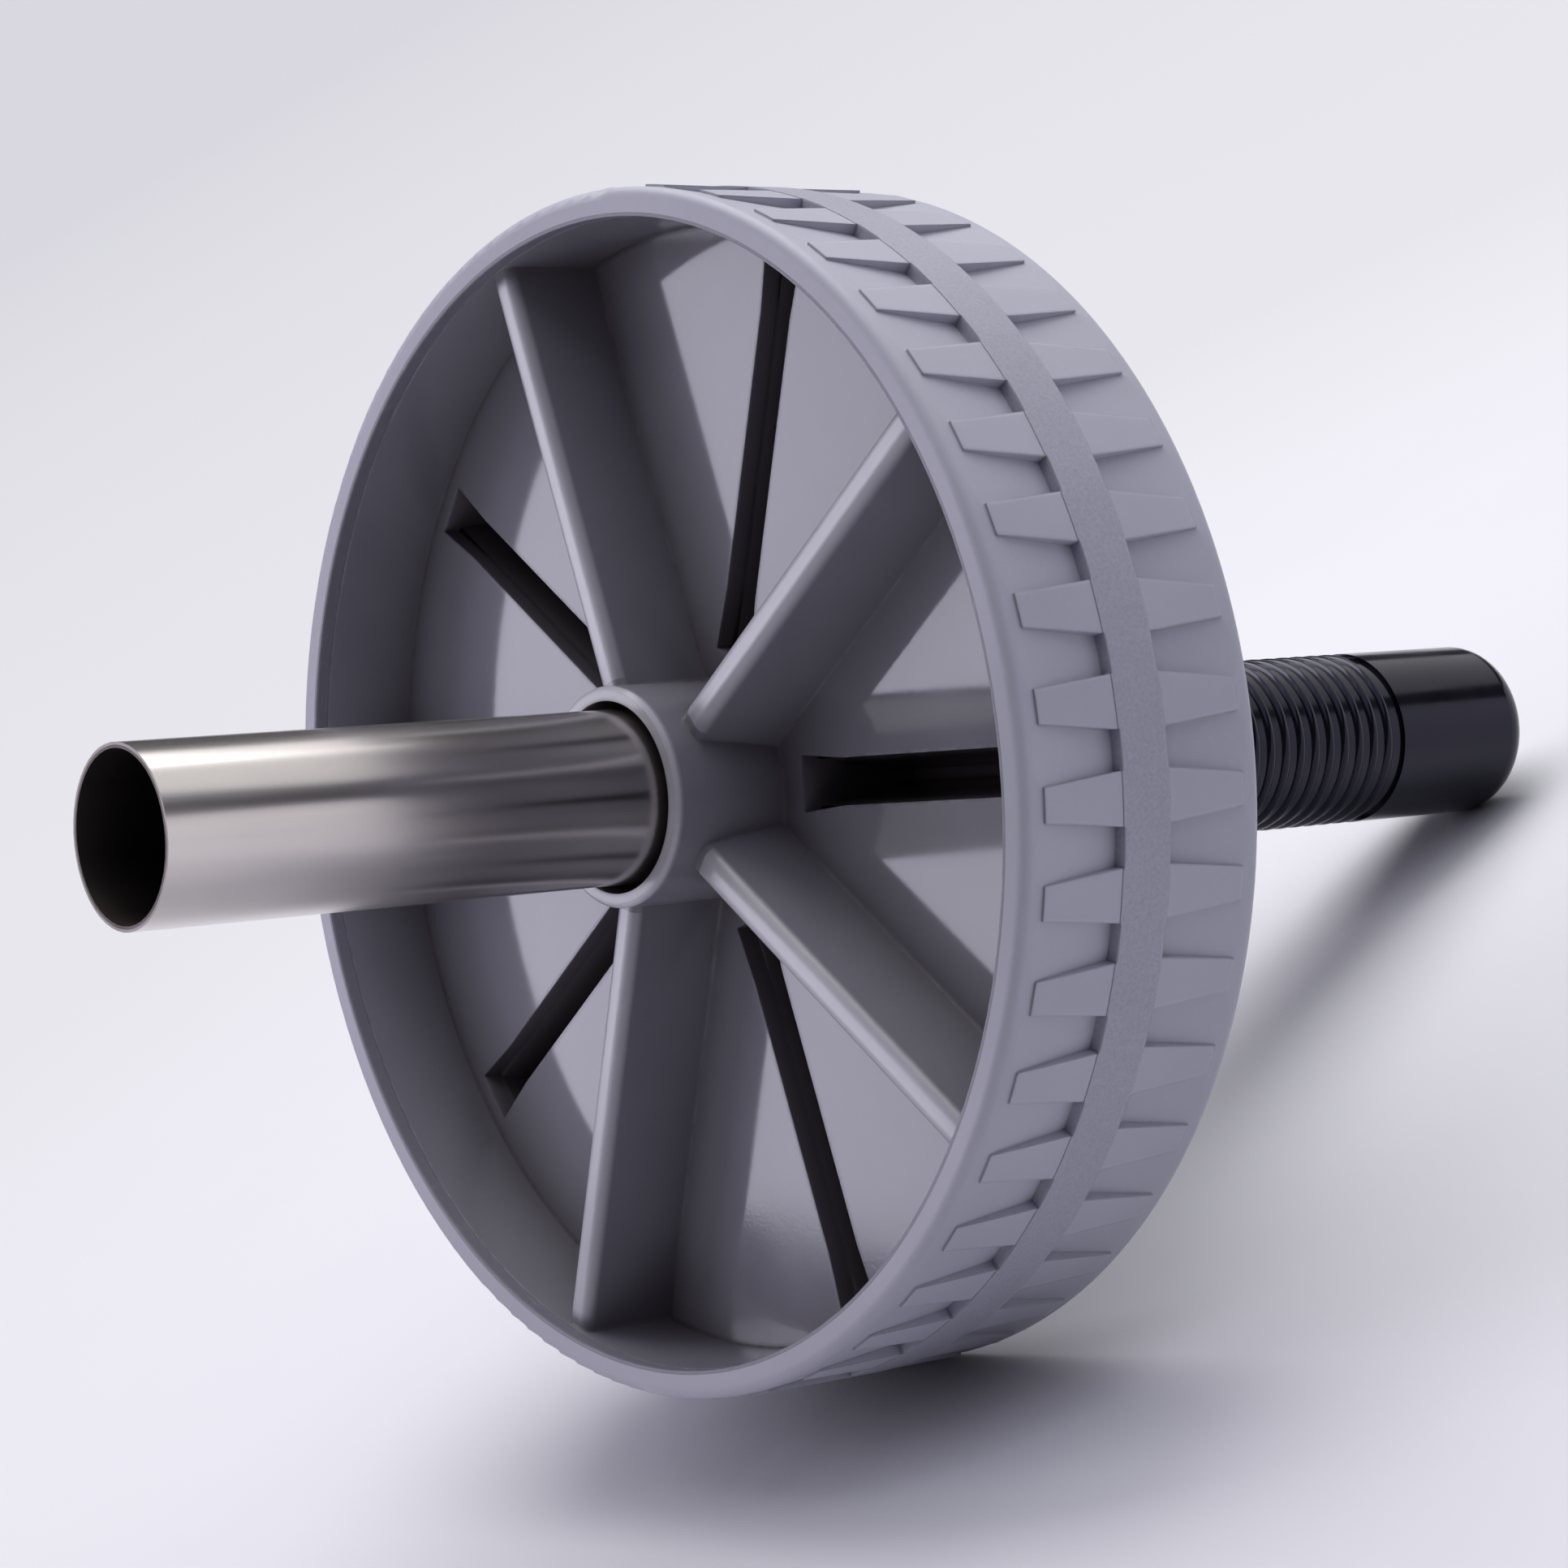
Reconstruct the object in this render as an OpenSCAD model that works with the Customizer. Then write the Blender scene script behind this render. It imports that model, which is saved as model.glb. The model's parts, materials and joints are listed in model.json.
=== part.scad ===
// Single-wheel ab roller, leaning on its far rim and on the end of its one fitted grip.
// Every piece is drawn along its own axle first: x runs from the bare tube end towards the grip,
// z points away from the floor, and x = 0 is the middle of the wheel. at_rest() then leans it.

/* [Wheel] */
// Radius over the smooth shoulders of the tyre
wheel_r = 86; // [70:0.5:100]
// Width of the wheel, from rim face to rim face
wheel_w = 42; // [36:0.5:50]
// Angle that the wheel is turned to about its axle
wheel_turn = 93.6; // [0:0.2:360]
// Wall of the moulded rim under the tyre, at its open edges
rim_wall = 1.9; // [1.6:0.1:3]
// Draft of the rim's inner wall, in degrees
rim_draft = 3; // [0.5:0.5:4]
// Depth of the web below the near rim face
web_depth = 17; // [14:0.5:20]
// Thickness of the web
web_t = 3; // [2:0.25:4]

/* [Hub] */
// How far each end of the hub stands out past the rim face
hub_proud = 2.1; // [0.5:0.1:8]
// Wall of the hub at its mouths
hub_wall = 2.05; // [1.6:0.05:4]
// Gap round the tube at the hub's cored mouths
mouth_gap = 1.25; // [0.6:0.05:2]
// Length of the land in the middle of the hub that the tube runs in
land_len = 22; // [12:1:30]
// Radial running clearance between the tube and that land
run_gap = 0.08; // [0.03:0.01:0.1]
// Chamfer on the hub's outer edges
hub_edge = 0.5; // [0.2:0.1:1]

/* [Ribs and slots] */
// Number of hollow ribs on each side of the web
rib_count = 5; // [3:1:7]
// Drop of the rib crests below the rim faces
rib_drop = 2.8; // [1:0.1:6]
// Width of a rib where it leaves the web
rib_base_w = 8.6; // [8.2:0.1:11]
// Width of a rib at its crest
rib_crest_w = 4.5; // [4.2:0.1:7]
// Rounding of the rib's crest corners
rib_round = 1.8; // [0.8:0.1:2]
// Wall at the crest of a hollow rib
rib_wall = 1.4; // [1:0.1:2.2]
// Width of the slot that opens a hollow rib through the web
slot_w = 6.7; // [5:0.1:7]
// Extra width on each side at both ends of a slot
slot_flare = 0.7; // [0.2:0.1:0.9]
// Length of the flare at each end of a slot
flare_len = 9; // [4:0.5:14]
// Distance from the hub's outside to the slot
slot_hub_gap = 4.2; // [3:0.2:10]
// Distance from the rim's inside edge to the slot
slot_rim_gap = 3.4; // [2.5:0.1:8]

/* [Tyre] */
// Thickness of the tyre over the rim, at its shoulders
tyre_t = 2.2; // [1.8:0.1:3.5]
// Thickness of the lips that wrap the rim's edges
lip_t = 2.2; // [1.5:0.1:4]
// Rounding of the tyre's shoulders
shoulder_round = 1.5; // [0.8:0.1:2]
// Width of the plain band round the middle of the tread
band_w = 8.4; // [5:0.2:14]
// Height of the band above the shoulders
band_h = 0.45; // [0.2:0.05:1]
// Number of lugs in each of the two rows
lug_count = 43; // [24:1:48]
// Plain margin between the rim face and the lugs
lug_margin = 3.4; // [3:0.1:6]
// Height of the lugs above the shoulders
lug_h = 0.35; // [0.2:0.05:0.9]
// Width of a lug at the band
lug_band_w = 7.2; // [5:0.1:8]
// Width of a lug at its outer end
lug_end_w = 4.5; // [3:0.1:6]
// Drop of the pocket floors below the shoulders, at the band
pocket_drop = 1.3; // [0.6:0.1:1.6]
// Turn of the lugs from the middle of a slot, in degrees
lug_turn = 2.9; // [0:0.1:8]

/* [Axle tube] */
// Outside diameter of the steel tube
tube_d = 25; // [22:0.2:28]
// Wall of the tube
tube_wall = 0.8; // [0.6:0.1:1.6]
// Bare length of tube past the near rim face
tube_bare = 81; // [60:1:110]

/* [Grip] */
// Length of the grip
grip_len = 104; // [80:1:125]
// Wall of the grip's sleeve at its smooth parts
grip_wall = 1.25; // [1:0.05:4]
// Distance from the far rim face to the grip
grip_stand = 30; // [10:1:50]
// Wall that closes the grip's end
grip_cap_t = 1.8; // [1.2:0.1:3]
// Radial clearance between the grip and the tube
grip_gap = 0.05; // [0.03:0.01:0.1]
// Gap between the tube's end and the grip's closed end
seat_gap = 0.2; // [0.1:0.05:0.5]
// Rounding of the grip's closed end
grip_round = 4.5; // [2:0.5:6]
// Rounding of the grip's open edge
grip_edge = 0.5; // [0.2:0.05:0.6]
// Length of the smooth part at the closed end
smooth_len = 30; // [20:1:45]
// Length of the smooth part at the open end
collar_len = 6; // [3:0.5:15]
// Spacing of the rings
ring_pitch = 3.3; // [2.6:0.1:5]
// Radius of each ring's rounded crest
ring_r = 1.1; // [0.8:0.05:1.2]
// Height of the rings above the valleys between them
ring_h = 0.55; // [0.3:0.05:0.65]

/* [Hidden] */
$fn = 96;
// Overlap that lets two volumes of one piece join
lap = 0.5;
// Dip of a pocket's floor below the shoulder where the lugs end
shoulder_dip = 0.12;
// Dip of a rib's flat faces below its rounded corners, so that the corners cross them cleanly
crest_dip = 0.02;

// Radii that the pieces share
rim_out_r = wheel_r - tyre_t;
rim_in_r = rim_out_r - rim_wall;
tube_r = tube_d / 2;
bore_r = tube_r + run_gap;
mouth_r = tube_r + mouth_gap;
hub_r = mouth_r + hub_wall;
grip_r = tube_r + grip_gap + grip_wall;
band_r = wheel_r + band_h;
lug_r = wheel_r + lug_h;
pocket_r = wheel_r - pocket_drop;

// Places along the axle
face_x = wheel_w / 2;
rim_edge_x = face_x - lip_t;
hub_end_x = face_x + hub_proud;
web_near_x = web_depth - face_x;
web_far_x = web_near_x + web_t;
crest_x = face_x - rib_drop;
tube_near_x = -face_x - tube_bare;
grip_open_x = face_x + grip_stand;
grip_end_x = grip_open_x + grip_len;
tube_far_x = grip_end_x - grip_cap_t - seat_gap;
lug_end_x = face_x - lug_margin;

// Radii of the rim's drafted inner wall where it meets the near and the far face of the web
rim_near_r = rim_in_r - (rim_edge_x + web_near_x) * tan(rim_draft);
web_r = rim_in_r - (rim_edge_x - web_far_x) * tan(rim_draft);

// Lean of the axle: the floor touches the far shoulder's rounding and the grip end's rounding
foot_x = face_x - shoulder_round;
foot_r = wheel_r - shoulder_round;
toe_x = grip_end_x - grip_round;
toe_r = grip_r - grip_round;
foot_to_toe = sqrt(pow(toe_x - foot_x, 2) + pow(foot_r - toe_r, 2));
lean = atan((foot_r - toe_r) / (toe_x - foot_x)) - asin((grip_round - shoulder_round) / foot_to_toe);
axle_z = foot_x * sin(lean) + foot_r * cos(lean) + shoulder_round;

// Ends of the leaning roller along the floor, which put the origin under its middle
low_end = min(tube_near_x * cos(lean) - tube_r * sin(lean),
              -foot_x * cos(lean) - foot_r * sin(lean) - shoulder_round);
high_end = max(toe_x * cos(lean) + toe_r * sin(lean) + grip_round,
               foot_x * cos(lean) + foot_r * sin(lean) + shoulder_round);
axle_x = -(low_end + high_end) / 2;

// Stands the whole roller on the floor as it rests
module at_rest() {
    translate([axle_x, 0, axle_z])
        rotate([0, lean, 0])
            children();
}

// Turns an outline drawn as [radius, place along the axle] round the axle
module about_axle() {
    rotate([0, 90, 0])
        rotate_extrude()
            children();
}

// A plain round bar along the axle
module axle_bar(from_x, to_x, r) {
    translate([from_x, 0, 0])
        rotate([0, 90, 0])
            cylinder(h = to_x - from_x, r = r);
}

// Outline of the rim: drafted inside on both sides of the web, straight where the web joins it
module rim_outline() {
    polygon([
        [rim_in_r, -rim_edge_x],
        [rim_out_r, -rim_edge_x],
        [rim_out_r, rim_edge_x],
        [rim_in_r, rim_edge_x],
        [web_r, web_far_x],
        [web_r, web_near_x],
        [rim_near_r, web_near_x]
    ]);
}

// Outline of the hub: cored wide at both mouths, with the bearing land between them
module hub_outline() {
    polygon([
        [mouth_r, -hub_end_x],
        [hub_r - hub_edge, -hub_end_x],
        [hub_r, hub_edge - hub_end_x],
        [hub_r, hub_end_x - hub_edge],
        [hub_r - hub_edge, hub_end_x],
        [mouth_r, hub_end_x],
        [mouth_r, land_len / 2],
        [bore_r, land_len / 2],
        [bore_r, -land_len / 2],
        [mouth_r, -land_len / 2]
    ]);
}

// Outline of the room that the ribs on one side stand in, between the hub and the rim
module rib_room(side) {
    wall_r = side < 0 ? rim_near_r : web_r;
    floor_x = side < 0 ? web_near_x : web_far_x;
    polygon([
        [hub_r, floor_x],
        [wall_r, floor_x],
        [rim_in_r, side * rim_edge_x],
        [hub_r, side * rim_edge_x]
    ]);
}

// Cross-section of one hollow rib, drawn as [height above the web, width across]
module rib_outline(height) {
    slope = atan((rib_base_w - rib_crest_w) / 2 / height);
    core_r = rib_round - crest_dip;
    corner_h = height - rib_round;
    corner_y = rib_base_w / 2 - corner_h * tan(slope) - rib_round / cos(slope);
    side_h = corner_h + core_r * sin(slope);
    side_y = corner_y + core_r * cos(slope);
    polygon([
        [0, -rib_base_w / 2],
        [side_h, -side_y],
        [corner_h, -corner_y],
        [corner_h + core_r, -corner_y],
        [corner_h + core_r, corner_y],
        [corner_h, corner_y],
        [side_h, side_y],
        [0, rib_base_w / 2]
    ]);
    for (side = [-1, 1])
        translate([corner_h, side * corner_y])
            circle(r = rib_round, $fn = 48);
}

// Cross-section of the hollow inside a rib, as wide as its slot where the rib meets the web
module hollow_outline(height) {
    crest_half = rib_crest_w / 2 - rib_wall;
    polygon([
        [-lap, -slot_w / 2],
        [0, -slot_w / 2],
        [height - rib_wall, -crest_half],
        [height - rib_wall, crest_half],
        [0, slot_w / 2],
        [-lap, slot_w / 2]
    ]);
}

// Where the ribs and their hollows start and end, out from the axle
rib_in_r = hub_r - hub_wall / 2;
rib_out_r = rim_out_r - rim_wall / 2;
slot_in_r = hub_r + slot_hub_gap;
slot_out_r = rim_in_r - slot_rim_gap;

// Height of a rib above its own face of the web
function rib_height(side) = side < 0 ? crest_x + web_near_x : crest_x - web_far_x;

// Turns a rib or a slot to its place: the two sides' ribs alternate round the hub
module each_rib(side) {
    for (i = [0:rib_count - 1])
        rotate([(i + (side < 0 ? 0.5 : 0)) * 360 / rib_count, 0, 0])
            children();
}

// Stands an outline drawn as [height, width] on one face of the web, between two radii
module on_web(side, from_r, to_r) {
    translate([side < 0 ? web_near_x : web_far_x, 0, from_r])
        linear_extrude(to_r - from_r)
            mirror([side < 0 ? 1 : 0, 0])
                children();
}

// The hollow ribs on one side of the web
module rib_set(side) {
    difference() {
        intersection() {
            each_rib(side)
                on_web(side, rib_in_r, rib_out_r)
                    rib_outline(rib_height(side));
            about_axle() rib_room(side);
        }
        each_rib(side)
            on_web(side, slot_in_r, slot_out_r)
                hollow_outline(rib_height(side));
    }
}

// Flared slot through the web, under a rib of the other side
module slot_cutter() {
    half = slot_w / 2;
    wide = half + slot_flare;
    translate([web_far_x + lap, 0, 0])
        rotate([0, -90, 0])
            linear_extrude(web_t + 2 * lap)
                polygon([
                    [slot_in_r, -wide],
                    [slot_in_r + flare_len, -half],
                    [slot_out_r - flare_len, -half],
                    [slot_out_r, -wide],
                    [slot_out_r, wide],
                    [slot_out_r - flare_len, half],
                    [slot_in_r + flare_len, half],
                    [slot_in_r, wide]
                ]);
}

// Moulded wheel, its rim under the tyre
module rim() {
    color("#9b99a6")
        at_rest()
            about_axle() rim_outline();
}

// Moulded wheel, its hub round the tube
module hub() {
    color("#9b99a6")
        at_rest()
            about_axle() hub_outline();
}

// Moulded wheel, its web with the slots that the hollow ribs open through
module web() {
    color("#9b99a6")
        at_rest()
            rotate([wheel_turn, 0, 0])
                difference() {
                    axle_bar(web_near_x, web_far_x, web_r);
                    axle_bar(web_near_x - lap, web_far_x + lap, hub_r);
                    each_rib(-1) slot_cutter();
                    each_rib(1) slot_cutter();
                }
}

// Moulded wheel, its ribs on the bare tube's side
module near_ribs() {
    color("#9b99a6")
        at_rest()
            rotate([wheel_turn, 0, 0])
                rib_set(-1);
}

// Moulded wheel, its ribs on the grip's side
module far_ribs() {
    color("#9b99a6")
        at_rest()
            rotate([wheel_turn, 0, 0])
                rib_set(1);
}

// Outline of the tyre before the pockets are cut, turned round the axle
module tyre_outline() {
    difference() {
        union() {
            polygon([
                [rim_in_r, -face_x],
                [foot_r, -face_x],
                [foot_r, -foot_x],
                [wheel_r, -foot_x],
                [wheel_r, -lug_end_x],
                [lug_r, -lug_end_x],
                [lug_r, -band_w / 2],
                [band_r, -band_w / 2],
                [band_r, band_w / 2],
                [lug_r, band_w / 2],
                [lug_r, lug_end_x],
                [wheel_r, lug_end_x],
                [wheel_r, foot_x],
                [foot_r, foot_x],
                [foot_r, face_x],
                [rim_in_r, face_x]
            ]);
            for (side = [-1, 1])
                translate([foot_r, side * foot_x])
                    circle(r = shoulder_round);
        }
        translate([rim_in_r - lap, -rim_edge_x])
            square([rim_out_r - rim_in_r + lap, 2 * rim_edge_x]);
    }
}

// Half width of the pocket between two lugs at a place along the axle
function pocket_half(x) =
    PI * wheel_r / lug_count
    - (lug_band_w + (lug_end_w - lug_band_w) * (x - band_w / 2) / (lug_end_x - band_w / 2)) / 2;

// Cutter for one pocket: a tapered plan whose floor climbs from the band and runs out at the shoulder
module pocket_cutter() {
    run = lug_end_x - band_w / 2;
    climb = atan((pocket_drop - shoulder_dip) / run);
    past = run + shoulder_dip * run / (pocket_drop - shoulder_dip) + 1;
    translate([band_w / 2, 0, pocket_r])
        rotate([0, -climb, 0])
            linear_extrude(pocket_drop + band_h + 1)
                polygon([
                    [0, -pocket_half(band_w / 2)],
                    [past, -pocket_half(band_w / 2 + past)],
                    [past, pocket_half(band_w / 2 + past)],
                    [0, pocket_half(band_w / 2)]
                ]);
}

// Moulded tyre: plain band, two rows of tapered lugs and lips round the rim's edges
module tyre() {
    color("#7f7e8c")
        at_rest()
            rotate([wheel_turn + lug_turn, 0, 0])
                difference() {
                    about_axle() tyre_outline();
                    for (i = [0:lug_count - 1])
                        rotate([(i + 0.5) * 360 / lug_count, 0, 0]) {
                            pocket_cutter();
                            mirror([1, 0, 0]) pocket_cutter();
                        }
                }
}

// Thin steel tube that the wheel turns on
module axle_tube() {
    color("#c9c6c4")
        at_rest()
            difference() {
                axle_bar(tube_near_x, tube_far_x, tube_r);
                axle_bar(tube_near_x - lap, tube_far_x + lap, tube_r - tube_wall);
            }
}

// Outline of the grip: rings between a smooth collar and a smooth rounded end
module grip_outline() {
    valley_r = grip_r - ring_h;
    ring_from = grip_open_x + collar_len;
    ring_to = grip_end_x - smooth_len;
    ring_total = floor((ring_to - ring_from - ring_pitch / 2) / ring_pitch);
    difference() {
        union() {
            translate([0, grip_open_x])
                square([valley_r, grip_len - grip_round]);
            translate([0, grip_open_x])
                square([grip_r - grip_edge, collar_len]);
            translate([0, grip_open_x + grip_edge])
                square([grip_r, collar_len - grip_edge]);
            translate([grip_r - grip_edge, grip_open_x + grip_edge])
                circle(r = grip_edge, $fn = 32);
            translate([0, ring_to])
                square([grip_r, smooth_len - grip_round]);
            translate([0, ring_to])
                square([grip_r - grip_round, smooth_len]);
            translate([grip_r - grip_round, grip_end_x - grip_round])
                circle(r = grip_round);
            for (i = [1:ring_total])
                translate([grip_r - ring_r, ring_to - i * ring_pitch])
                    circle(r = ring_r, $fn = 32);
        }
        translate([-grip_r, grip_open_x - lap])
            square([grip_r + tube_r + grip_gap, grip_len - grip_cap_t + lap]);
        translate([-grip_r, grip_open_x - lap])
            square([grip_r, grip_len + 2 * lap]);
    }
}

// Glossy sleeve pushed over the far end of the tube
module grip() {
    color("#1d1c22")
        at_rest()
            about_axle() grip_outline();
}

rim();
web();
hub();
near_ribs();
far_ribs();
tyre();
axle_tube();
grip();
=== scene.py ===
# %% [markdown]
# An ab wheel roller at rest on a pale studio floor.
# The roller leans: the far shoulder of its tyre and the end of its one grip touch the floor.
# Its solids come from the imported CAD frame, so their shapes are settled. This lesson gives each
# of them a surface that is made from the way the real material is made, then lights and frames
# them like the photograph.

# %% Load the frame
import bmesh
import bpy
import json
import math
from mathutils import Matrix, Vector
from mathutils.bvhtree import BVHTree


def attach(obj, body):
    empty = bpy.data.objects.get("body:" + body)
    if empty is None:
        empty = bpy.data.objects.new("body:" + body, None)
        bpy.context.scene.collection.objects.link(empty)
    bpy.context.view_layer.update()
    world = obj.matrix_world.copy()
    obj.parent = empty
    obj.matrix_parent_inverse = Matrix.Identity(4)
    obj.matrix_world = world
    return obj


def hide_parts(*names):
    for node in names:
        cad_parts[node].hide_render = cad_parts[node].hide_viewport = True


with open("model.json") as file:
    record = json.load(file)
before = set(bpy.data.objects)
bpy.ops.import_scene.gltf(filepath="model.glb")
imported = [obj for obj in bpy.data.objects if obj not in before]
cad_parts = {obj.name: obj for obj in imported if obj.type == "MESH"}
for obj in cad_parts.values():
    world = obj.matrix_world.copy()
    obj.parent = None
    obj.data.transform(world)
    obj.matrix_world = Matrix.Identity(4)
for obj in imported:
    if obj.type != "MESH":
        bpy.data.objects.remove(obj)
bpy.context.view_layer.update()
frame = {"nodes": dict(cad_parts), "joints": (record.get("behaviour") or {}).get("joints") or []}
MM = 0.001

# %% [markdown]
# The axle is the line that the wheel turns on, and nearly every mark on this object runs round
# it or along it. Its direction could be typed in from the CAD source. It is read from the
# wheel's own joint instead, so it stays right when the part is packed again.

# %% Find the axle
spin = next(j for j in frame["joints"] if j["name"] == "wheel_spin")
HUB = Vector(spin["pos_m"])
AXLE = Vector(spin["axis"]).normalized()
LEAN = math.asin(-AXLE.z)
print("the axle leans by", round(math.degrees(LEAN), 2), "degrees")

# %% [markdown]
# A colour is written here as the hex code that a paint program shows. Cycles counts in linear
# light, where middle grey is about a fifth of white, so colour() turns one into the other.

# %% Turn a hex colour into linear light


def colour(hex_code):
    parts = [int(hex_code[i:i + 2], 16) / 255 for i in (1, 3, 5)]
    line = [c / 12.92 if c <= 0.04045 else ((c + 0.055) / 1.055) ** 2.4 for c in parts]
    return tuple(line) + (1.0,)


print("middle grey in linear light:", round(colour("#808080")[0], 3))

# %% [markdown]
# Every finish is a net of shader nodes. They could be wired by hand in the editor, but a script
# can be read, run again and changed in one place. node() adds one node: it makes the settings,
# fills each input with a plain value or with a link from another node, and hands back one of
# the node's outputs. An input is named, or numbered where several share a name: the Mix node
# has a set of sockets for each kind of data, and these are the numbers of its colour sockets.

# %% Add one node
MIX_BY, MIX_A, MIX_B, MIXED = 0, 6, 7, 2


def node(tree, kind, inputs=None, out=0, **settings):
    made = tree.nodes.new("ShaderNode" + kind)
    for key, value in settings.items():
        setattr(made, key, value)
    for key, value in (inputs or {}).items():
        if isinstance(value, bpy.types.NodeSocket):
            tree.links.new(value, made.inputs[key])
        else:
            made.inputs[key].default_value = value
    return made.outputs[out] if made.outputs else made


def new_material(name):
    made = bpy.data.materials.new(name)
    made.use_nodes = True
    made.node_tree.nodes.clear()
    return made, made.node_tree


print("the colour sockets of Mix:", MIX_BY, MIX_A, MIX_B, "and out of it:", MIXED)

# %% [markdown]
# The lines of a drawn tube, the tyre's plain band and the crests of the ribs follow the axle and
# not the floor. Their places could come from a UV map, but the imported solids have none. Object
# space does instead: it is measured from the hub and turned by the lean, so that x runs along
# the axle. A stretch below 1 on an axis draws a pattern out along that axis.

# %% Measure from the axle


def axle_place(tree, stretch):
    place = node(tree, "TexCoord", out="Object")
    spot = node(tree, "VectorMath", {0: place, 1: HUB}, operation="SUBTRACT")
    turned = node(tree, "VectorRotate", {"Vector": spot, "Axis": (0.0, 1.0, 0.0), "Angle": -LEAN},
                  rotation_type="AXIS_ANGLE")
    return node(tree, "Mapping", {"Vector": turned, "Scale": stretch})


def off_axle(tree):
    # how far a place lies from the axle's line
    across = axle_place(tree, (0.0, 1.0, 1.0))
    return node(tree, "VectorMath", {0: across}, "Value", operation="LENGTH")


def off_middle(tree):
    # how far along the axle a place lies from the wheel's middle, the same on both sides
    depth = node(tree, "SeparateXYZ", {"Vector": axle_place(tree, (1.0, 1.0, 1.0))})
    return node(tree, "Math", {0: depth}, operation="ABSOLUTE")


def end_on(tree):
    # 1 where the surface faces straight along the axle, 0 where it faces square to it
    normal = node(tree, "NewGeometry", out="Normal")
    facing = node(tree, "VectorMath", {0: normal, 1: AXLE}, "Value", operation="DOT_PRODUCT")
    return node(tree, "Math", {0: facing}, operation="ABSOLUTE")


print("places are measured from the hub at", [round(v / MM, 1) for v in HUB], "mm")

# %% [markdown]
# No moulded edge is dead sharp, and handling rubs plastic and rubber paler at their edges. The
# edges could be bevelled in the mesh, but the imported solids stay as they are. The Bevel node
# turns the normal near an edge instead, as if the edge were rounded. How far it has turned the
# normal shows where the edges are, and that makes the mask for the wear and for the painted edge
# highlights.

# %% Round the edges and find them


def rounded(tree, radius_mm, gain):
    soft = node(tree, "Bevel", {"Radius": radius_mm * MM}, samples=2)
    true = node(tree, "NewGeometry", out="Normal")
    same = node(tree, "VectorMath", {0: soft, 1: true}, "Value", operation="DOT_PRODUCT")
    turned = node(tree, "Math", {0: 1.0, 1: same}, operation="SUBTRACT")
    strong = node(tree, "Math", {0: turned, 1: gain}, operation="MULTIPLY")
    return soft, node(tree, "Clamp", {"Value": strong})


def grains(size_mm):
    # the noise scale at which the grains are about this many millimetres wide
    return 1000.0 / size_mm


print("grains of 0.5 mm need a noise scale of", grains(0.5))

# %% [markdown]
# Moulded wheel. The real one is light grey polypropylene that was shot into a steel mould. Its
# colour is even, with clouds about 28 mm wide where the melt flowed and cooled unevenly. A flat
# colour would look like paint, so two greys that lie close are mixed by a soft noise.

# %% Plastic: the body
plastic, t = new_material("moulded_polypropylene_light_grey")
place = node(t, "TexCoord", out="Object")
cloud = node(t, "TexNoise", {"Vector": place, "Scale": grains(28.0), "Detail": 4.0,
                             "Roughness": 0.55})
flow = node(t, "MapRange", {"Value": cloud, "From Min": 0.3, "From Max": 0.7})
body = node(t, "Mix", {MIX_BY: flow, MIX_A: colour("#7f7e88"), MIX_B: colour("#878690")},
            MIXED, data_type="RGBA")
print("body of", plastic.name, "with", len(t.nodes), "nodes")

# %% [markdown]
# Its edges are paler: partly scuffs, partly a painted highlight where light catches them. The
# edge mask marks inner corners too, where nothing rubs, so it is multiplied by ambient occlusion:
# only the edges that stand out into open air are made paler. A noise of 4 mm breaks the paler
# edges up into patches.

# %% Plastic: scuffed edges and painted edge highlight
soft, edge = rounded(t, 0.8, 3.0)
open_air = node(t, "AmbientOcclusion", {"Distance": 16.0 * MM}, "AO", samples=3)
proud = node(t, "MapRange", {"Value": open_air, "From Min": 0.6, "From Max": 0.85,
                             "To Max": 0.9})
outward = node(t, "Math", {0: edge, 1: proud}, operation="MULTIPLY")
patches = node(t, "TexNoise", {"Vector": place, "Scale": grains(4.0), "Detail": 5.0,
                               "Roughness": 0.7})
broken = node(t, "MapRange", {"Value": patches, "From Min": 0.4, "From Max": 0.65})
scuffs_and_highlight = node(t, "Math", {0: outward, 1: broken}, operation="MULTIPLY")
# the paler edges are partly scuffs and partly a painted highlight
worn_and_highlit = node(t, "Mix", {MIX_BY: scuffs_and_highlight, MIX_A: body, MIX_B: colour("#dad8e0")},
            MIXED, data_type="RGBA")
print("scuffed edges added:", len(t.nodes), "nodes")

# %% [markdown]
# The crests of the ribs and the ends of the hub are painted paler all over as a painted
# highlight, where light catches them. They could be painted by hand. Here their places are known
# from the part: a crest lies about 18 mm from the wheel's middle, between the hub and the rim,
# and the ends of the hub lie beyond the faces of the wheel.

# %% Plastic: painted highlight on the crests and hub ends
CREST_FROM, CREST_FULL = 16.6 * MM, 18.0 * MM
HUB_END_FROM, HUB_END_FULL = 21.8 * MM, 22.6 * MM
PAST_HUB = 17.2 * MM
RIB_FADES, RIB_ENDS = 79.2 * MM, 80.6 * MM
MOST_HIGHLIGHT = 0.6
out_from_middle = off_middle(t)
out_from_axle = off_axle(t)
high = node(t, "MapRange", {"Value": out_from_middle, "From Min": CREST_FROM,
                            "From Max": CREST_FULL, "To Max": MOST_HIGHLIGHT})
past_hub = node(t, "Math", {0: out_from_axle, 1: PAST_HUB}, operation="GREATER_THAN")
before_rim = node(t, "MapRange", {"Value": out_from_axle, "From Min": RIB_FADES,
                                  "From Max": RIB_ENDS, "To Min": 1.0, "To Max": 0.0})
on_ribs = node(t, "Math", {0: past_hub, 1: before_rim}, operation="MULTIPLY")
crests = node(t, "Math", {0: high, 1: on_ribs}, operation="MULTIPLY")
hub_ends = node(t, "MapRange", {"Value": out_from_middle, "From Min": HUB_END_FROM,
                                "From Max": HUB_END_FULL, "To Max": MOST_HIGHLIGHT})
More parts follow.
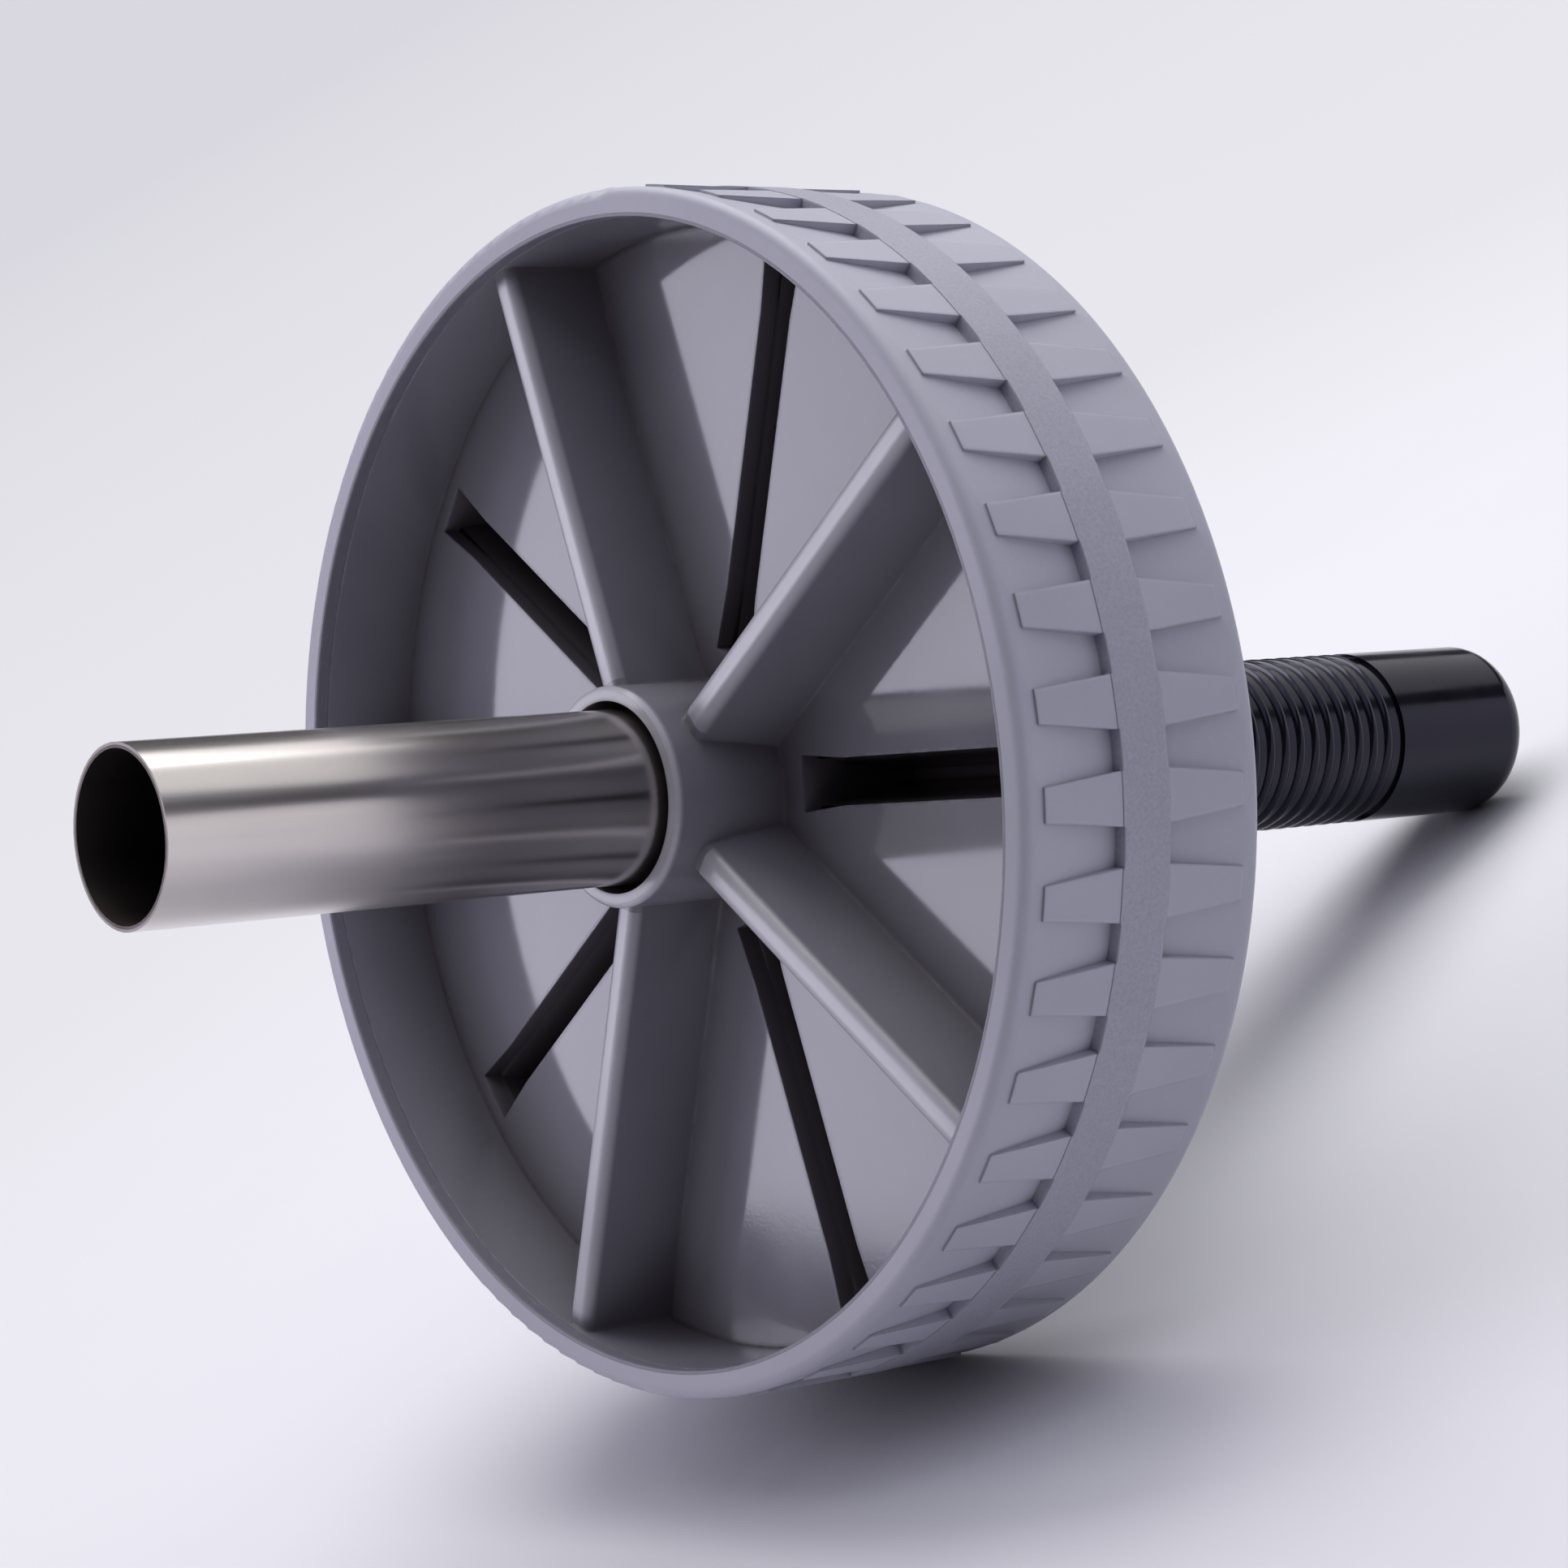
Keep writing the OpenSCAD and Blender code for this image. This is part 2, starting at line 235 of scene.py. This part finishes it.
highlight_spots = node(t, "Math", {0: crests, 1: hub_ends}, operation="MAXIMUM")
uneven = node(t, "MapRange", {"Value": cloud, "From Min": 0.3, "From Max": 0.7,
                              "To Min": 0.7, "To Max": 1.0})
highlit = node(t, "Math", {0: highlight_spots, 1: uneven}, operation="MULTIPLY")
# painted highlight on the rib crests and the hub ends
worn_and_highlit = node(t, "Mix", {MIX_BY: highlit, MIX_A: worn_and_highlit, MIX_B: colour("#d0ced7")},
            MIXED, data_type="RGBA")
print("crests rubbed pale from", round(CREST_FULL / MM, 1), "mm off the middle")

# %% [markdown]
# Painted shade: deep in the slots and in the corners of the ribs the colour is darkened towards a
# brown-grey, where shade falls. A map of it could be baked, but the same ambient occlusion
# already tells how little open air a place has.

# %% Plastic: painted shade in the corners
closed = node(t, "MapRange", {"Value": open_air, "From Min": 0.2, "From Max": 0.74,
                              "To Min": 0.9, "To Max": 0.0})
# painted shade: the slots and corners are darkened towards brown-grey
with_recess_shade = node(t, "Mix", {MIX_BY: closed, MIX_A: worn_and_highlit, MIX_B: colour("#463b38")},
             MIXED, data_type="RGBA")
print("grime added:", len(t.nodes), "nodes")

# %% [markdown]
# The mould's plates for the web were polished and its other faces were left satin, so on the real
# wheel the flat web mirrors the ribs and the rim while the rest only shines. The web could have
# a material of its own, but it is one moulding with the rest. Its faces are found instead: they
# face along the axle and lie within 9 mm of the wheel's middle.

# %% Plastic: polished web, satin elsewhere
FACES_ALONG = 0.97
WEB_WITHIN = 9.0 * MM
flat = node(t, "Math", {0: end_on(t), 1: FACES_ALONG}, operation="GREATER_THAN")
deep = node(t, "Math", {0: out_from_middle, 1: WEB_WITHIN}, operation="LESS_THAN")
polished = node(t, "Math", {0: flat, 1: deep}, operation="MULTIPLY")
satin = node(t, "MapRange", {"Value": cloud, "From Min": 0.3, "From Max": 0.7,
                             "To Min": 0.16, "To Max": 0.24})
mirror = node(t, "MapRange", {"Value": cloud, "From Min": 0.3, "From Max": 0.7,
                              "To Min": 0.05, "To Max": 0.1})
gloss = node(t, "MapRange", {"Value": polished, "To Min": satin, "To Max": mirror})
print("gloss added:", len(t.nodes), "nodes")

# %% [markdown]
# A moulded skin is never a perfect mirror: it has an orange peel of about half a millimetre, a
# few thousandths deep. Bump is right for that, because it is far too fine to be cut in a mesh.
# Polypropylene bends light by 1.49, close to the 1.5 that is used here.

# %% Plastic: the skin and the shader
peel = node(t, "TexNoise", {"Vector": place, "Scale": grains(0.55), "Detail": 2.0})
skin = node(t, "Bump", {"Strength": 0.4, "Distance": 0.006 * MM, "Height": peel,
                        "Normal": soft})
shader = node(t, "BsdfPrincipled", {"Base Color": with_recess_shade, "Roughness": gloss, "IOR": 1.5,
                                    "Normal": skin})
node(t, "OutputMaterial", {"Surface": shader})
print(plastic.name, "has", len(t.nodes), "nodes")

# %% [markdown]
# Tyre. The real one is mid-grey thermoplastic rubber, moulded as a sleeve over the rim. Most of
# it is one grey with soft clouds. The plain band round the middle is rougher from use and looks
# speckled. The inner side of the lip that wraps the rim's edge gets a darker grey as painted
# shade, since it lies in the shade inside the rim. Both are found by their distances, like the
# crests of the wheel.

# %% Rubber: the body, the band and painted shade on the lip
BAND_WITHIN = 4.3 * MM
LIP_WITHIN = 82.4 * MM
rubber, t = new_material("thermoplastic_rubber_mid_grey")
place = node(t, "TexCoord", out="Object")
cloud = node(t, "TexNoise", {"Vector": place, "Scale": grains(35.0), "Detail": 3.0})
flow = node(t, "MapRange", {"Value": cloud, "From Min": 0.3, "From Max": 0.7})
body = node(t, "Mix", {MIX_BY: flow, MIX_A: colour("#a8a7b4"), MIX_B: colour("#b0afbc")},
            MIXED, data_type="RGBA")
band = node(t, "Math", {0: off_middle(t), 1: BAND_WITHIN}, operation="LESS_THAN")
specks = node(t, "TexNoise", {"Vector": place, "Scale": grains(0.5), "Detail": 4.0,
                              "Roughness": 0.7})
specked = node(t, "MapRange", {"Value": specks, "From Min": 0.35, "From Max": 0.65,
                               "To Min": 0.15, "To Max": 0.5})
on_band = node(t, "Math", {0: band, 1: specked}, operation="MULTIPLY")
body = node(t, "Mix", {MIX_BY: on_band, MIX_A: body, MIX_B: colour("#858392")},
            MIXED, data_type="RGBA")
lip_shade = node(t, "Math", {0: off_axle(t), 1: LIP_WITHIN}, operation="LESS_THAN")
# painted shade on the inner side of the lip
body = node(t, "Mix", {MIX_BY: lip_shade, MIX_A: body, MIX_B: colour("#7c7a86")},
            MIXED, data_type="RGBA")
print("body of", rubber.name, "with", len(t.nodes), "nodes")

# %% [markdown]
# The lugs stand less than 2 mm high. What draws them on the real tyre is the shade at their feet
# and the highlight along their tops. Light alone shows little of that here, so both are painted:
# short ambient occlusion darkens the feet as painted shade, and the edge mask turns the tops
# paler as a painted highlight.

# %% Rubber: painted shade at the feet and painted highlight on the tops of the lugs
open_air = node(t, "AmbientOcclusion", {"Distance": 3.0 * MM}, "AO", samples=2)
feet_shade = node(t, "MapRange", {"Value": open_air, "From Min": 0.15, "From Max": 0.5,
                            "To Min": 0.9, "To Max": 0.0})
# painted shade at the feet of the lugs
body = node(t, "Mix", {MIX_BY: feet_shade, MIX_A: body, MIX_B: colour("#45434f")},
            MIXED, data_type="RGBA")
soft, edge = rounded(t, 0.7, 7.0)
proud = node(t, "MapRange", {"Value": open_air, "From Min": 0.4, "From Max": 0.6,
                             "To Max": 0.8})
top_highlight = node(t, "Math", {0: edge, 1: proud}, operation="MULTIPLY")
# painted highlight along the tops of the lugs
highlit = node(t, "Mix", {MIX_BY: top_highlight, MIX_A: body, MIX_B: colour("#d2d0dc")},
              MIXED, data_type="RGBA")
print("lug edges added:", len(t.nodes), "nodes")

# %% [markdown]
# The mould for the tyre was spark-eroded, which leaves a matt grain of about half a millimetre,
# and pale dust stays in that grain. Rubber bends light by about 1.5; 1.47 keeps it dull.

# %% Rubber: dust, grain and the shader
dust = node(t, "TexNoise", {"Vector": place, "Scale": grains(1.6), "Detail": 6.0,
                            "Roughness": 0.75})
thin = node(t, "MapRange", {"Value": dust, "From Min": 0.56, "From Max": 0.7,
                            "To Max": 0.22})
dusty = node(t, "Mix", {MIX_BY: thin, MIX_A: highlit, MIX_B: colour("#bab8c3")},
             MIXED, data_type="RGBA")
grain = node(t, "TexNoise", {"Vector": place, "Scale": grains(0.45), "Detail": 3.0,
                             "Roughness": 0.65})
matt = node(t, "MapRange", {"Value": grain, "From Min": 0.3, "From Max": 0.7,
                            "To Min": 0.42, "To Max": 0.58})
skin = node(t, "Bump", {"Strength": 0.5, "Distance": 0.03 * MM, "Height": grain,
                        "Normal": soft})
shader = node(t, "BsdfPrincipled", {"Base Color": dusty, "Roughness": matt, "IOR": 1.47,
                                    "Normal": skin})
node(t, "OutputMaterial", {"Surface": shader})
print(rubber.name, "has", len(t.nodes), "nodes")

# %% [markdown]
# Axle tube. The real one is bright steel, drawn through a die that leaves long fine lines along
# it. Its gloss is a little uneven round it, and handling has left faint dull patches. The
# Anisotropic setting could stand in for the lines, but it needs a tangent and shows no single
# line. Three noises do it instead, each drawn out along the axle by its stretch.

# %% Steel: drawing lines and patches
steel, t = new_material("bright_drawn_steel_tube")
lines = node(t, "TexNoise", {"Vector": axle_place(t, (0.012, 1.0, 1.0)),
                             "Scale": grains(0.35), "Detail": 4.0, "Roughness": 0.6})
broad = node(t, "TexNoise", {"Vector": axle_place(t, (0.05, 1.0, 1.0)),
                             "Scale": grains(5.0), "Detail": 3.0, "Roughness": 0.55})
smear = node(t, "TexNoise", {"Vector": axle_place(t, (0.4, 1.0, 1.0)),
                             "Scale": grains(30.0), "Detail": 3.0})
dull = node(t, "MapRange", {"Value": smear, "From Min": 0.35, "From Max": 0.7})
metal = node(t, "Mix", {MIX_BY: dull, MIX_A: colour("#dad4d1"), MIX_B: colour("#c6c0be")},
             MIXED, data_type="RGBA")
streaks = node(t, "MapRange", {"Value": broad, "From Min": 0.3, "From Max": 0.7,
                               "To Min": 0.18, "To Max": 0.27})
handled = node(t, "MapRange", {"Value": smear, "From Min": 0.5, "From Max": 0.8,
                               "To Max": 0.04})
rough = node(t, "Math", {0: streaks, 1: handled}, operation="ADD")
swell = node(t, "Math", {0: broad, 1: 2.5}, operation="MULTIPLY")
height = node(t, "Math", {0: lines, 1: swell}, operation="ADD")
print("drawing lines added:", len(t.nodes), "nodes")

# %% [markdown]
# The tube was sawn to length, so its end rings are duller, and its inside never met the die and
# keeps a dark raw skin. They are found by where they face and by their distance off the axle:
# the wall lies between 11.7 and 12.5 mm. A metal keeps the default IOR, because its colour
# already says what it mirrors.

# %% Steel: sawn ends, raw inside and the shader
FACES_END = 0.9
INSIDE_WITHIN = 12.1 * MM
sawn = node(t, "Math", {0: end_on(t), 1: FACES_END}, operation="GREATER_THAN")
metal = node(t, "Mix", {MIX_BY: sawn, MIX_A: metal, MIX_B: colour("#86817f")},
             MIXED, data_type="RGBA")
raw = node(t, "Math", {0: off_axle(t), 1: INSIDE_WITHIN}, operation="LESS_THAN")
metal = node(t, "Mix", {MIX_BY: raw, MIX_A: metal, MIX_B: colour("#544e4b")},
             MIXED, data_type="RGBA")
undrawn = node(t, "Math", {0: sawn, 1: raw}, operation="MAXIMUM")
duller = node(t, "Math", {0: undrawn, 1: 0.3}, operation="MULTIPLY")
rough = node(t, "Math", {0: rough, 1: duller}, operation="ADD")
skin = node(t, "Bump", {"Strength": 0.5, "Distance": 0.003 * MM, "Height": height})
shader = node(t, "BsdfPrincipled", {"Base Color": metal, "Metallic": 1.0,
                                    "Roughness": rough, "Normal": skin})
node(t, "OutputMaterial", {"Surface": shader})
print(steel.name, "has", len(t.nodes), "nodes")

# %% [markdown]
# Grip. The real one is a black vinyl sleeve, dipped and not moulded, so its skin is smooth and
# wet-looking, with a slight ripple where the vinyl ran and a few specks of dust. Vinyl bends
# light by about 1.5, and 1.45 suits this soft, oily kind. Its highlights look violet. A violet
# body would not show, because the sleeve is too dark, so the Specular Tint carries that colour.

# %% Vinyl: ripple, dust and the shader
vinyl, t = new_material("glossy_dipped_vinyl_black")
place = node(t, "TexCoord", out="Object")
specks = node(t, "TexNoise", {"Vector": place, "Scale": grains(0.9), "Detail": 6.0,
                              "Roughness": 0.8})
dust = node(t, "MapRange", {"Value": specks, "From Min": 0.66, "From Max": 0.76,
                            "To Max": 0.35})
body = node(t, "Mix", {MIX_BY: dust, MIX_A: colour("#0a0a10"), MIX_B: colour("#4a4852")},
            MIXED, data_type="RGBA")
runs = node(t, "TexNoise", {"Vector": place, "Scale": grains(9.0), "Detail": 4.0})
wet = node(t, "MapRange", {"Value": runs, "From Min": 0.3, "From Max": 0.7,
                           "To Min": 0.11, "To Max": 0.19})
dull = node(t, "Math", {0: dust, 1: 0.4}, operation="MULTIPLY")
rough = node(t, "Math", {0: wet, 1: dull}, operation="ADD")
ripple = node(t, "TexNoise", {"Vector": place, "Scale": grains(3.5), "Detail": 2.0})
skin = node(t, "Bump", {"Strength": 0.3, "Distance": 0.02 * MM, "Height": ripple})
shader = node(t, "BsdfPrincipled", {"Base Color": body, "Roughness": rough, "IOR": 1.45,
                                    "Specular Tint": colour("#cbc8f0"), "Normal": skin})
node(t, "OutputMaterial", {"Surface": shader})
print(vinyl.name, "has", len(t.nodes), "nodes")

# %% [markdown]
# One moulding. The solids keep the rim, the web, the hub and the ribs apart, but on the real
# wheel they are one piece of plastic. A boolean union could join them, but their touching faces
# lie in one plane, which booleans do badly. Instead, each face that lies just under another
# solid's skin is left out, so the surfaces run into each other. To tell whether a spot is
# inside a closed mesh, a ray is sent from it: it leaves through an odd number of faces if so.

# %% Find what is buried
NUDGE = 1e-6
PROBE = 0.3 * MM
CORNER_SHARE = 0.95


def inside(tree, spot):
    ray = Vector((0.31, 0.87, 0.38)).normalized()
    crossed = 0
    while True:
        hit = tree.ray_cast(spot, ray)
        if hit[0] is None:
            return crossed % 2 == 1
        crossed += 1
        spot = hit[0] + ray * NUDGE


def is_buried(face, others, by_middle):
    # the ribs' small faces are tested at their middles, other faces near each of their corners
    middle = face.calc_center_median()
    spots = [middle] if by_middle else [middle.lerp(v.co, CORNER_SHARE) for v in face.verts]
    return all(any(inside(tree, spot + face.normal * PROBE) for tree in others)
               for spot in spots)


print("a face is buried when the plastic goes on", round(PROBE / MM, 1), "mm above it")

# %% [markdown]
# The five solids go into one mesh without their buried faces. Corners that now meet are merged,
# and every edge that turns by less than 25 degrees is shaded smooth. The new piece rides on the
# wheel's body and stands in for the five nodes.

# %% Join the moulding
MOULDING = ("rim", "web", "hub", "near_ribs", "far_ribs")
MERGE = 0.002 * MM
SMOOTH_BELOW = math.radians(25)
trees = {}
for name in MOULDING:
    part = bmesh.new()
    part.from_mesh(frame["nodes"][name].data)
    trees[name] = BVHTree.FromBMesh(part)
    part.free()

whole = bmesh.new()
for name in MOULDING:
    start = len(whole.faces)
    whole.from_mesh(frame["nodes"][name].data)
    whole.faces.ensure_lookup_table()
    others = [tree for other, tree in trees.items() if other != name]
    ribs = name.endswith("ribs")
    buried = [face for face in whole.faces[start:] if is_buried(face, others, ribs)]
    print(name, len(whole.faces) - start, "faces,", len(buried), "of them buried")
    bmesh.ops.delete(whole, geom=buried, context="FACES")
bmesh.ops.remove_doubles(whole, verts=whole.verts, dist=MERGE)

# %% Hand the moulding over
for face in whole.faces:
    face.smooth = True
for edge in whole.edges:
    edge.smooth = len(edge.link_faces) == 2 and edge.calc_face_angle() < SMOOTH_BELOW
mesh = bpy.data.meshes.new("moulded_wheel")
whole.to_mesh(mesh)
whole.free()
wheel = bpy.data.objects.new("moulded_wheel", mesh)
bpy.context.scene.collection.objects.link(wheel)
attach(wheel, "wheel")
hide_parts(*MOULDING)
print(wheel.name, "has", len(mesh.polygons), "faces")

# %% [markdown]
# Each piece now gets its finish. The five solids under the moulding get the plastic as well, so
# that they look right when they are shown by themselves.

# %% Dress the pieces
FINISH = {wheel: plastic, frame["nodes"]["tyre"]: rubber,
          frame["nodes"]["axle_tube"]: steel, frame["nodes"]["grip"]: vinyl}
FINISH.update({frame["nodes"][name]: plastic for name in MOULDING})
for piece, finish in FINISH.items():
    piece.data.materials.clear()
    piece.data.materials.append(finish)
print("materials:", sorted({finish.name for finish in FINISH.values()}))

# %% [markdown]
# Floor. A studio floor is one wide sheet of pale paper, here with a trace of lavender. Close to
# the roller it is lit paper that takes shadows. Ambient occlusion deepens the shadow where the
# tyre touches it, as the thin gap does on a real floor.

# %% Paper: the lit sheet
paper, t = new_material("pale_lavender_paper")
place = node(t, "TexCoord", out="Object")
fleck = node(t, "TexNoise", {"Vector": place, "Scale": grains(60.0), "Detail": 3.0})
tint = node(t, "Mix", {MIX_BY: fleck, MIX_A: colour("#dad9de"), MIX_B: colour("#dedde2")},
            MIXED, data_type="RGBA")
open_air = node(t, "AmbientOcclusion", {"Distance": 20.0 * MM}, "AO", samples=4)
touching = node(t, "MapRange", {"Value": open_air, "From Min": 0.1, "From Max": 0.75,
                                "To Min": 0.75, "To Max": 0.0})
tint = node(t, "Mix", {MIX_BY: touching, MIX_A: tint, MIX_B: colour("#4a4a50")},
            MIXED, data_type="RGBA")
lit = node(t, "BsdfDiffuse", {"Color": tint})
print("lit paper with", len(t.nodes), "nodes")

# %% [markdown]
# Farther off, a real studio lights its backdrop on its own. More lamps could do that, but they
# would light the roller too. So the paper fades into an even glow between 0.16 and 0.5 m from
# the roller, a little dimmer again by 3 m, and only for the camera and for mirrors: as a light
# on the roller, the floor stays plain paper.

# %% Paper: the far glow and the shader
FADE_FROM, FADE_FULL = 0.16, 0.5
DIM_FROM, DIM_FULL = 0.6, 3.0
away = node(t, "VectorMath", {0: place}, "Value", operation="LENGTH")
far = node(t, "MapRange", {"Value": away, "From Min": FADE_FROM, "From Max": FADE_FULL})
dim = node(t, "MapRange", {"Value": away, "From Min": DIM_FROM, "From Max": DIM_FULL})
dimmed = node(t, "Mix", {MIX_BY: dim, MIX_A: colour("#e8e7ed"), MIX_B: colour("#d9d8e0")},
              MIXED, data_type="RGBA")
glow = node(t, "Emission", {"Color": dimmed, "Strength": 1.0})
seen = 0.0
for ray in ("Is Camera Ray", "Is Glossy Ray", "Is Transmission Ray"):
    seen = node(t, "Math", {0: seen, 1: node(t, "LightPath", out=ray)}, operation="MAXIMUM")
far_seen = node(t, "Math", {0: far, 1: seen}, operation="MULTIPLY")
mixed = node(t, "MixShader", {"Fac": far_seen, 1: lit, 2: glow})
node(t, "OutputMaterial", {"Surface": mixed})
print(paper.name, "has", len(t.nodes), "nodes")

# %% [markdown]
# The sheet reaches past every corner of the picture. A plane is two triangles, and ambient
# occlusion can draw a thin line where they meet, so the mesh is shifted sideways: that keeps
# the line far from the roller, while the object's origin stays under it.

# %% Lay the floor
SHEET_WIDE = 120.0
SHEET_SHIFT = Vector((0.0, 25.0, 0.0))
bpy.ops.mesh.primitive_plane_add(size=SHEET_WIDE)
floor = bpy.context.object
floor.data.transform(Matrix.Translation(SHEET_SHIFT))
floor.name = "paper_floor"
floor.data.materials.append(paper)
print("floor", round(SHEET_WIDE), "m wide")

# %% [markdown]
# Camera. Its place and direction were solved from ellipses that were fitted to the rims, the
# hub, the tube and the grip in the photograph. It could be placed by eye, but a circle seen at
# an angle fixes the view much better. It is a long lens about 65 cm away, looking 15 degrees
# down and rolled by nearly 30 degrees. The focal length was solved in pixels of the picture.

# %% Place the camera
FOCAL_PX = 5172.9
FRAME_PX = 1932
SENSOR_MM = 36.0
eye = Vector((-0.359771, -0.483735, 0.242214))
forward = Vector((0.55954, 0.78625, -0.26216)).normalized()
upward = Vector((0.53298, -0.09912, 0.8403))
right = forward.cross(upward).normalized()
upward = right.cross(forward)
lens = bpy.data.cameras.new("photo_camera")
lens.sensor_width = SENSOR_MM
lens.lens = SENSOR_MM * FOCAL_PX / FRAME_PX
lens.clip_start = 0.01
lens.clip_end = 200.0
camera = bpy.data.objects.new("photo_camera", lens)
turned = Matrix((right, upward, -forward)).transposed().to_4x4()
camera.matrix_world = Matrix.Translation(eye) @ turned
bpy.context.scene.collection.objects.link(camera)
bpy.context.scene.camera = camera
print("lens", round(lens.lens, 2), "mm")

# %% [markdown]
# Light. A photographer would use soft boxes, which are area lamps here: the wider the box, the
# softer its shadow. One sun or a picture of a sky could light the roller too, but boxes can be
# placed one by one until the shadows and highlights fall as in the photograph.
# The key box shines down along the wheel's own plane, so the floor under the leaning wheel
# stays bright. The overhead box fills from above. The left box stands behind on the left, where
# the polished web mirrors it. The right box draws the tube's highlight. The weak front box
# lights the rib sides that face left, and the fill box lifts the tread that faces the camera.

# %% Place the soft boxes
BOXES = (
    ("key_box", (0.60, 0.24, 1.15), (0.0, 0.0, 0.0), (1.0, 1.0), 12.0, "#ffffff"),
    ("overhead_box", (0.30, 0.0, 1.45), (0.0, 0.0, 0.0), (1.6, 1.6), 9.2, "#ffffff"),
    ("left_box", (-0.72, 1.08, 0.70), (0.0, 0.0, 0.08), (0.75, 0.72), 7.0, "#f1eeff"),
    ("right_box", (1.20, -0.20, 0.62), (0.0, 0.0, 0.05), (1.6, 0.9), 3.5, "#ffffff"),
    ("front_box", (-1.20, 0.35, 0.65), (0.0, 0.0, 0.08), (0.7, 0.6), 2.0, "#f6f5ff"),
    ("fill_box", (0.30, -0.90, 0.90), (0.0, 0.0, 0.05), (1.0, 1.0), 2.8, "#e6eaff"),
)


def soft_box(name, place, aim, size, watts, tint):
    lamp = bpy.data.lights.new(name, "AREA")
    lamp.shape = "RECTANGLE"
    lamp.size, lamp.size_y = size
    lamp.energy = watts
    lamp.color = colour(tint)[:3]
    box = bpy.data.objects.new(name, lamp)
    box.location = place
    box.rotation_mode = "QUATERNION"
    box.rotation_quaternion = (Vector(aim) - Vector(place)).to_track_quat("-Z", "Y")
    bpy.context.scene.collection.objects.link(box)


for row in BOXES:
    soft_box(*row)
print(len(BOXES), "boxes,", round(sum(row[4] for row in BOXES), 1), "watts in all")

# %% [markdown]
# World. The room round the boxes is dim, so that the shadows keep their depth. The camera sees
# the pale tone of the backdrop there instead, in case a view reaches past the floor.

# %% Dim the room
world = bpy.data.worlds.new("dim_room")
world.use_nodes = True
t = world.node_tree
t.nodes.clear()
room = node(t, "Background", {"Color": colour("#d8d4e4"), "Strength": 0.10})
pale = node(t, "Background", {"Color": colour("#e6e5ec"), "Strength": 1.0})
by_camera = node(t, "LightPath", out="Is Camera Ray")
shown = node(t, "MixShader", {"Fac": by_camera, 1: room, 2: pale})
node(t, "OutputWorld", {"Surface": shown})
bpy.context.scene.world = world
print(world.name, "has", len(t.nodes), "nodes")

# %% [markdown]
# Hand-over. A filmic view would soften the highlights but shift every colour. The standard view
# transform keeps the colours as they are written.

# %% Finish
bpy.context.scene.view_settings.view_transform = "Standard"
print("view transform:", bpy.context.scene.view_settings.view_transform)
